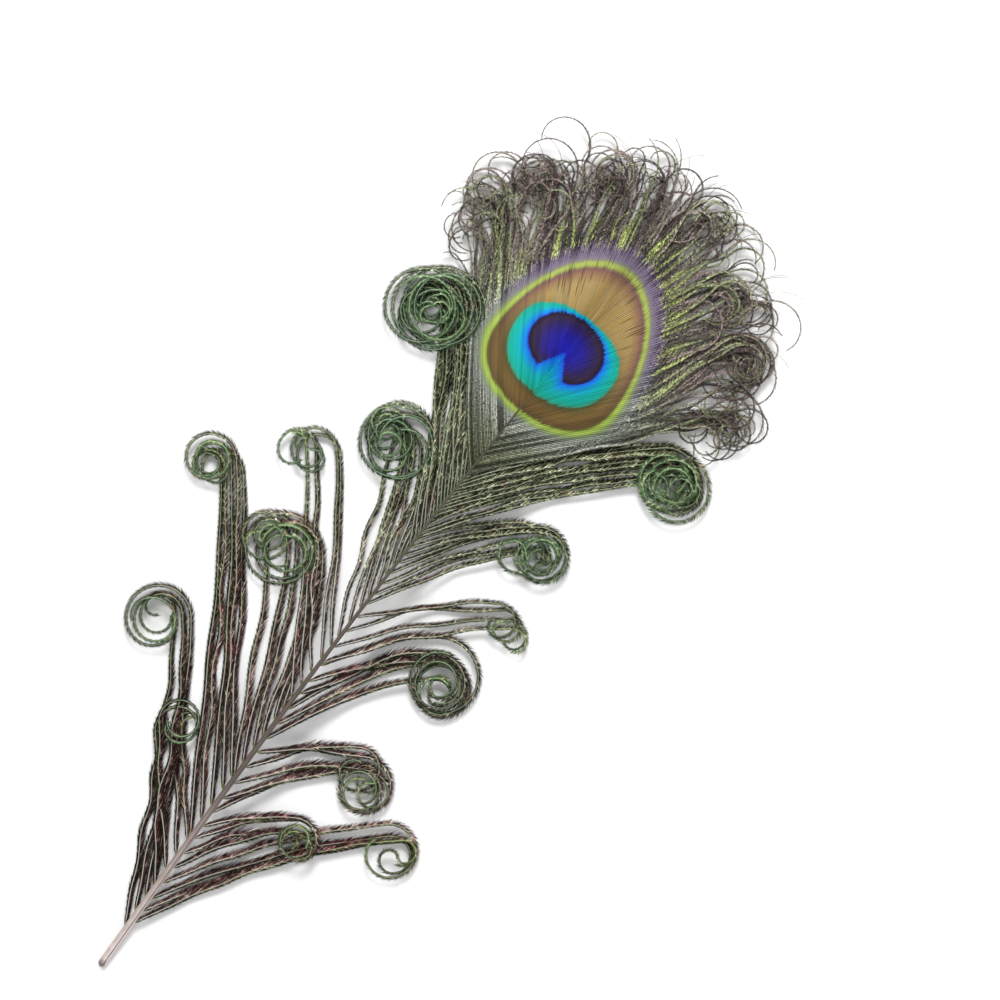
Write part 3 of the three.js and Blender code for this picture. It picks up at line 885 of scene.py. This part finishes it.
# where loose ends draw together: share of the web's roots, the curl's centre, its radius and how strongly
clusters = {
    "left": [
        {"share": (0.04, 0.18), "curl": (42, 234), "radius": 6.5, "gather": 0.4},
        {"share": (0.32, 0.45), "curl": (31, 245), "radius": 6, "gather": 0.5},
        {"share": (0.62, 0.76), "curl": (16.5, 253), "radius": 5.5, "gather": 0.45},
    ],
    "right": [
        {"share": (0.0, 0.11), "curl": (48, 222), "radius": 5.5, "gather": 0.5},
        {"share": (0.14, 0.4), "curl": (38.7, 234.8), "radius": 7.4, "gather": 0.88, "turns": 0.95},
        {"share": (0.56, 0.68), "curl": (28, 249), "radius": 6, "gather": 0.45},
        {"share": (0.82, 0.93), "curl": (10, 258), "radius": 5.5, "gather": 0.4},
    ],
}


def fanPath(side, share):
    # x, y, z and heading of a barb that keeps its own place in the fan
    root = lerp(*web["roots"], share)
    over = smooth((root - web["closesOver"][0]) / web["closesOver"][1])
    half = shaftHalfWidth(root)
    start = np.array((outwardOf(side) * shaftX(root) + half * (0.6 - 1.1 * over), root))
    widest, lowReach, topReach = web["fan"][side]
    angle = math.radians(widest * (1 - share))
    tip = headed(angle) * lerp(lowReach, topReach, share) + (start[0] * share, web["fanCentre"])
    leaving = math.radians(web["leaving"]) * math.cos(share * math.pi / 2)
    rows = []
    for t in np.linspace(0, 1, web["rows"]):
        (x, y), heading = sweepCurve(start, leaving, tip, angle * 0.75, t)
        z = lerp(shaftZ(root) + half * over, fringe["lying"], smooth(t / 0.75))
        rows.append((x, y, z, heading))
    return np.array(rows)


def hookedRows(side, paths):
    # the row at which each barb lets go of its neighbours, evened out along the web
    rows = []
    for path in paths:
        ring = zoneReach(eyespot["ring"], outwardOf(side) * path[:, 0], path[:, 1])
        inside = np.nonzero(ring < web["hookedTo"])[0]
        rows.append(max(web["hookedShare"] * len(path), inside[-1] if len(inside) else 0))
    return np.convolve(np.pad(rows, 4, mode="edge"), np.ones(9) / 9, mode="valid")


def looseEnd(side, share, path, hooked, hair, rng):
    # a web barb from its root to its curled end, in its own place up to the row where it lets go
    count = len(path)
    end = round(count * rng.uniform(*fringe["hairEnds" if hair else "ends"]))
    end = min(count, max(end, round(hooked + fringe["shortest"] * count)))
    x, y, z, heading = path[:end].T
    loose = np.clip((np.arange(end) - hooked) / (end - hooked), 0, 1)
    length = np.concatenate(([0], np.cumsum(np.hypot(np.diff(x), np.diff(y)))))
    waves = tau * length / rng.uniform(*fringe["swayLength"]) + rng.uniform(0, tau)
    sway = rng.uniform(*fringe["sway"]) * np.sin(waves)
    aside = sway * loose + rng.gauss(0, fringe["stray"]) * loose**2
    x = x + aside * np.cos(heading)
    y = y - aside * np.sin(heading)
    z = z + rng.uniform(0, fringe["loft"]) * smooth(loose)
    cluster = next((c for c in clusters[side] if c["share"][0] <= share <= c["share"][1]), None)
    hand = -1 if rng.random() < fringe["backward"] and not cluster else 1
    radius = rng.uniform(*fringe["radius"]) * (fringe["hairRadius"] if hair else 1)
    turns = rng.uniform(*fringe["turns"]) * (fringe["hairTurns"] if hair else 1)
    pull = 0.0
    if cluster and not hair:
        first, last = cluster["share"]
        pull = cluster["gather"] * smooth(4 * min(share - first, last - share) / (last - first))
        radius = cluster["radius"] * rng.uniform(*fringe["gatheredRadius"])
        turns = cluster.get("turns", fringe["clusterTurns"]) * rng.uniform(*fringe["gatheredTurns"])
    pitch = rng.uniform(*fringe["pitch"])
    wobble = rng.uniform(-1, 1) * fringe["wobble"]
    room = radius * (1 + 2 * max(0, wobble))
    for drawn in (True, False):  # drawn to the cluster first, and then the curl starts in line with the barb
        arriving = math.atan2(x[-1] - x[-3], y[-1] - y[-3])
        centre = np.array((x[-1], y[-1])) + hand * radius * rightOf(arriving)
        if drawn:
            pulled = pull * (np.array(cluster["curl"]) - centre) if pull else np.zeros(2)
            furthest = fringe["furthestPull"] * (length[-1] - length[int(hooked)])
            pulled *= min(1, furthest / (np.hypot(*pulled) + 0.001))
            goal = np.minimum(centre + pulled, np.array(fringe["furthest"]) - room)
            x = x + (goal - centre)[0] * smooth(loose)
            y = y + (goal - centre)[1] * smooth(loose)
    turns = min(turns, (radius - fringe["smallestRadius"]) / pitch)
    curl = {
        "hand": hand,
        "radius": radius,
        "centre": centre,
        "pitch": pitch,
        "turns": turns,
        "heading": arriving,
        "wobble": wobble,
    }
    rows = [(*row, 0.0) for row in zip(x, y, z, fringe["edge"] * smooth(loose))]
    return addCurl(rows, curl, fringe["curlStep"], fringe["edge"])


def webBarb(side, share, path, hooked, hair, rng):
    barb = barbGuide(looseEnd(side, share, path, hooked, hair, rng), side)
    index = np.arange(len(barb["run"]))
    thick, thin = web["ribRadius"]
    radius = fringe["hairThickness"] if hair else lerp(thick, thin, barb["along"])
    barb["ribRadius"] = radius * mm * np.ones(len(index))
    loose = np.clip((index - hooked) / (len(index) - hooked), 0, 1)
    grown = np.clip((index - hooked) / fringe["firstRows"] + 1, 0, 1)
    barb["reach"] = grown * (1 - fringe["endTaper"] * loose**2) * (not hair)
    barb["strandTint"] = rng.random()
    x, y = (barb["points"][:, i] / mm - feather["quillEnd"][i] for i in (0, 1))
    barb.update(eyeZones(x, y + rng.uniform(-1, 1) * eyespot["jitter"]))
    return barb


def cutBarb(barb, rows):
    return {label: (value[rows] if isinstance(value, np.ndarray) else value) for label, value in barb.items()}


def webSheet(side, paths, hooked, tints, rng):
    # the hooked barbules: a ridge under each barb and a seam between neighbours, closed on its underside
    inner = web["sheetRows"]
    slitsFrom, slitsWithin = web["slitsFrom"]
    ridges = []
    for path, last in zip(paths, hooked):
        rows = np.linspace(0, last, inner)
        index = np.arange(len(path))
        ridges.append(np.stack([np.interp(rows, index, path[:, i]) for i in (0, 1, 2)], axis=1))
    columns, seam, tint, paintedSlitShade = [], [], [], []
    for k, ridge in enumerate(ridges):
        if k:
            between = (ridge + ridges[k - 1]) / 2
            between[:, 2] -= web["seamDepth"]
            columns.append(between)
            seam.append(1.0)
            tint.append((tints[k] + tints[k - 1]) / 2)
            # a slit is painted shade along a seam; the sheet stays closed
            slitShading = np.zeros(inner)
            if rng.random() < web["paintedSlitShare"]:
                middle = rng.uniform(*web["slitMiddle"]) * inner
                half = rng.uniform(*web["slitHalf"]) * inner
                slitShading = np.clip(1 - ((np.arange(inner) - middle) / half) ** 2, 0, 1)
                slitShading *= smooth((ridge[:, 1] - slitsFrom) / slitsWithin) * web["slitShadeStrength"]
            paintedSlitShade.append(slitShading)
        columns.append(ridge)
        seam.append(0.0)
        tint.append(tints[k])
        paintedSlitShade.append(np.zeros(inner))
    top = np.array(columns)
    under = top - (0, 0, web["sheetThickness"])
    across = len(columns)
    points = np.concatenate((top, under)).reshape(-1, 3)
    layer = across * inner

    def corner(column, row, depth):
        return depth * layer + column * inner + row

    faces = []
    for depth in (0, 1):
        for c in range(across - 1):
            for r in range(inner - 1):
                faces.append([corner(c + i, r + j, depth) for i, j in ((0, 0), (1, 0), (1, 1), (0, 1))])
    rim = [(c, 0) for c in range(across)] + [(across - 1, r) for r in range(1, inner)]
    rim += [(c, inner - 1) for c in range(across - 2, -1, -1)] + [(0, r) for r in range(inner - 2, 0, -1)]
    for here, there in zip(rim, rim[1:] + rim[:1]):
        faces.append([corner(*here, 0), corner(*there, 0), corner(*there, 1), corner(*here, 1)])
    out = outwardOf(side) * points[:, 0]
    mesh = bpy.data.meshes.new("eyeWeb_" + side)
    mesh.from_pydata(place(np.stack((out, points[:, 1], points[:, 2]), axis=1)), [], faces)
    solid = bmesh.new()
    solid.from_mesh(mesh)
    bmesh.ops.recalc_face_normals(solid, faces=solid.faces)
    solid.to_mesh(mesh)
    solid.free()
    jitter = np.repeat((np.array(tint) - 0.5) * 2 * eyespot["jitter"], inner)
    values = eyeZones(out, points[:, 1] + np.tile(jitter, 2))
    values["strandTint"] = np.tile(np.repeat(tint, inner), 2)
    outer = smooth((values["ring"] - 1.0) / 0.15)
    # the seams between barbs are darkened with painted shade; on barbules this attribute is their tint
    paintedSeamShade = np.tile(np.repeat(seam, inner), 2) * lerp(*web["paintedSeamShade"], outer)
    values["barbuleTintAndSeamShade"] = web["ridgeTint"] - paintedSeamShade
    values["paintedSlitShade"] = np.tile(np.concatenate(paintedSlitShade), 2)
    values["under"] = np.repeat((0.0, 1.0), layer)
    for label, value in values.items():
        mesh.attributes.new(label, "FLOAT", "POINT").data.foreach_set("value", value)
    mesh.materials.append(webMaterial)
    mesh.shade_smooth()
    mesh.set_sharp_from_angle(angle=math.radians(60))
    print("stage:", mesh.name, 2 * len(faces), "triangles")
    return bpy.data.objects.new(mesh.name, mesh)


webBarbuleSizes = {
    "Rib step": 0.001,
    "Rib sides": 3,
    "Rib height": 0.6,
    "Barbule spacing": 0.00037,
    "Barbule length": 0.0014,
    "Barbule width": 0.00036,
    "Barbule thickness": 0.00008,
    "Sweep from": 0.4,
    "Sweep to": 0.75,
    "Bend sweep": 0.0,
    "Droop from": 0.0,
    "Droop to": 0.4,
    "Tuft pitch": 0.0013,
}


def growWeb(side):
    rng = random.Random(web["seed"] + (side == "right"))
    shares = [(k + 0.5) / web["barbs"] for k in range(web["barbs"])]
    paths = [fanPath(side, share) for share in shares]
    hooked = hookedRows(side, paths)
    hookedParts, looseParts = [], []
    for k, share in enumerate(shares):
        barb = webBarb(side, share, paths[k], hooked[k], False, rng)
        letGo = int(hooked[k])
        hookedParts.append({**cutBarb(barb, slice(0, letGo + 1)), "strand": float(k)})
        looseParts.append({**cutBarb(barb, slice(letGo, None)), "strand": float(k)})
    for k in range(fringe["fillers"] + fringe["hairs"]):
        share = rng.random()
        path = fanPath(side, share)
        letGo = int(np.interp(share, shares, hooked))
        barb = webBarb(side, share, path, letGo, k >= fringe["fillers"], rng)
        looseParts.append({**cutBarb(barb, slice(letGo, None)), "strand": float(len(looseParts))})
    tints = [barb["strandTint"] for barb in hookedParts]
    sheet = webSheet(side, paths, hooked, tints, rng)
    mapFlat(sheet.data)
    finishPiece(sheet, ["eye_web_" + side])
    ribs = growBarbs("eyeBarbs_" + side, hookedParts, {**webBarbuleSizes, "Seed": 50}, webMaterial)
    mapFlat(ribs.data)
    finishPiece(ribs)
    ends = growBarbs("fringe_" + side, looseParts, {**webBarbuleSizes, "Seed": 60}, webMaterial)
    mapBarbs(ends.data, len(looseParts))
    finishPiece(ends)


for side in web["fan"]:
    growWeb(side)

shaftShape = {
    "sides": 28,
    "rings": 150,
    "groove": 0.2,  # its depth, as a share of the shaft's half width
    "grooveAngle": 0.55,
    "grooveWidth": 0.2,
    "bore": 0.62,
}


def shaftMesh():
    sides, rings = shaftShape["sides"], shaftShape["rings"]
    points, faces, around = [], [], []
    for i in range(rings + 1):
        y = i / rings * (feather["length"] - 0.1) + 0.05
        half = shaftHalfWidth(y)
        for k in range(sides):
            angle = tau * k / sides
            off = (angle - shaftShape["grooveAngle"] + math.pi) % tau - math.pi
            radius = half * (1 - shaftShape["groove"] * math.exp(-((off / shaftShape["grooveWidth"]) ** 2)))
            slant = 0.9 * half * (1 + math.cos(angle)) if i == 0 else 0  # the quill is cut off slantwise
            x, z = shaftX(y) + radius * math.sin(angle), shaftZ(y) + radius * math.cos(angle)
            points.append((x, y + slant, z))
            around.append(off)
    for i in range(rings):
        for k in range(sides):
            a, b = i * sides + k, i * sides + (k + 1) % sides
            faces.append((a, a + sides, b + sides, b))
    # the cut end: a rim, and the dry pith sunk inside it
    base = len(points)
    bore = shaftShape["bore"]
    for depth in (0, 1.6):
        for x, y, z in points[:sides]:
            points.append((lerp(shaftX(0), x, bore), y + depth, lerp(shaftZ(0), z, bore)))
            around.append(math.pi)
    for k in range(sides):
        after = (k + 1) % sides
        faces.append((k, after, base + after, base + k))
        faces.append((base + k, base + after, base + sides + after, base + sides + k))
    faces.append(tuple(base + sides + k for k in range(sides)))
    faces.append(tuple(rings * sides + k for k in reversed(range(sides))))
    mesh = bpy.data.meshes.new("shaft_quill")
    mesh.from_pydata(place(points), [], faces)
    mesh.attributes.new("around", "FLOAT", "POINT").data.foreach_set("value", np.abs(around))
    mesh.update()
    return mesh


shaftLook = {
    "along": [
        (0, "#eadfdc"), (0.14, "#b9aaa6"), (0.28, "#675a56"),
        (0.6, "#5f554d"), (0.82, "#4b483a"), (1, "#6b5a38"),
    ],
    # round the shaft from its groove: painted shade in the groove, a painted highlight beside it, darker
    # further round
    "around": [
        (0, "#3c3430"), (0.05, "#54483f"), (0.09, "#ffffff"), (0.16, "#f2ece8"),
        (0.24, "#d4ccc8"), (0.7, "#a0968e"), (1, "#8a7f76"),
    ],
    "grooveShadeAndHighlight": 0.75,
    "streaks": (5000, 160, 5000),  # 0.2 mm wide
    "streakLight": (0.78, 1.3),
    "streakDepth": 0.00005,
    "roughness": 0.42,
}


def hornKeratin(tree):
    # quill horn: pale and a little waxy at the cut end, dull brown further up, finely streaked lengthways,
    # with painted shade in its groove, a painted highlight on the ridge beside it, and darker further round
    where = addNode(tree, "ShaderNodeTexCoord").outputs["Object"]
    height = addNode(tree, "ShaderNodeSeparateXYZ", {0: where}).outputs["Y"]
    along = addNode(tree, "ShaderNodeMapRange", {"Value": height, "From Min": -0.1345, "From Max": 0.0875})
    colour = addNode(tree, "ShaderNodeValToRGB", {0: along}, shaftLook["along"])
    around = addNode(tree, "ShaderNodeAttribute", attribute_name="around").outputs["Fac"]
    around = addNode(tree, "ShaderNodeMath", {0: around, 1: math.pi}, operation="DIVIDE")
    edge = addNode(tree, "ShaderNodeValToRGB", {0: around}, shaftLook["around"])
    grooveShading = {"Factor": shaftLook["grooveShadeAndHighlight"], "A": colour, "B": edge}
    colour = addNode(tree, "ShaderNodeMix", grooveShading, data_type="RGBA", blend_type="MULTIPLY")
    stretched = addNode(tree, "ShaderNodeMapping", {"Vector": where, "Scale": shaftLook["streaks"]})
    glintsAndGrain = addNode(tree, "ShaderNodeTexNoise", {"Vector": stretched, "Scale": 1.0, "Detail": 3.0})
    streaks = {"Value": glintsAndGrain, **dict(zip(rangeInputs, (0.3, 0.7, *shaftLook["streakLight"])))}
    shade = addNode(tree, "ShaderNodeMapRange", streaks)
    shaded = addNode(tree, "ShaderNodeVectorMath", {0: colour, "Scale": shade}, operation="SCALE")
    bump = {"Height": glintsAndGrain, "Strength": 0.25, "Distance": shaftLook["streakDepth"]}
    bump = addNode(tree, "ShaderNodeBump", bump)
    return {"Base Color": shaded, "Roughness": shaftLook["roughness"], "Normal": bump}


shaft = bpy.data.objects.new("shaft_quill", shaftMesh())
shaft.data.materials.append(newMaterial("hornKeratin", hornKeratin))
shaft.data.shade_smooth()
finishPiece(shaft, ["shaft"])
print("stage: shaft made")

studio = {
    "floor": "#fbfbfb",
    "world": 0.6,
    "paperRoughness": 0.8,
    "softboxes": {"key": (14.0, (-0.45, 0.75, 0.9)), "fill": (2.0, (0.9, -0.5, 0.8))},  # W and place
    "softboxSize": 0.45,
    "cameraHeight": 0.6375,
    "lens": 85,
    "centre": (0.01468, 0.031),
    "turn": 37.2,
}


def makeTable():
    material = bpy.data.materials.new("whitePaper")  # matt paper: shows only the feather's soft shadow
    material.use_nodes = True
    surface = material.node_tree.nodes["Principled BSDF"]
    surface.inputs["Base Color"].default_value = hexColour(studio["floor"])
    surface.inputs["Roughness"].default_value = studio["paperRoughness"]
    mesh = bpy.data.meshes.new("table")
    mesh.from_pydata([(-2, -2, 0), (2, -2, 0), (2, 2, 0), (-2, 2, 0)], [], [(0, 1, 2, 3)])
    mesh.materials.append(material)
    table = bpy.data.objects.new("table", mesh)
    bpy.context.scene.collection.objects.link(table)


makeTable()
for name, (power, spot) in studio["softboxes"].items():
    light = bpy.data.lights.new(name + "Softbox", "AREA")
    light.shape = "SQUARE"
    light.size = studio["softboxSize"]
    light.energy = power
    lamp = bpy.data.objects.new(light.name, light)
    lamp.location = spot
    x, y, z = spot
    lamp.rotation_euler = (math.atan2(math.hypot(x, y), z), 0, math.atan2(-x, y) + math.pi)
    bpy.context.scene.collection.objects.link(lamp)
world = bpy.data.worlds.new("studio")
world.use_nodes = True
world.node_tree.nodes["Background"].inputs["Color"].default_value = (1, 1, 1, 1)
world.node_tree.nodes["Background"].inputs["Strength"].default_value = studio["world"]
bpy.context.scene.world = world
bpy.context.scene.view_settings.view_transform = "Standard"

lens = bpy.data.cameras.new("camera")
lens.lens = studio["lens"]
lens.sensor_width = 36
camera = bpy.data.objects.new("camera", lens)
camera.location = (*studio["centre"], studio["cameraHeight"])
camera.rotation_euler = (0, 0, math.radians(studio["turn"]))
bpy.context.scene.collection.objects.link(camera)
bpy.context.scene.camera = camera
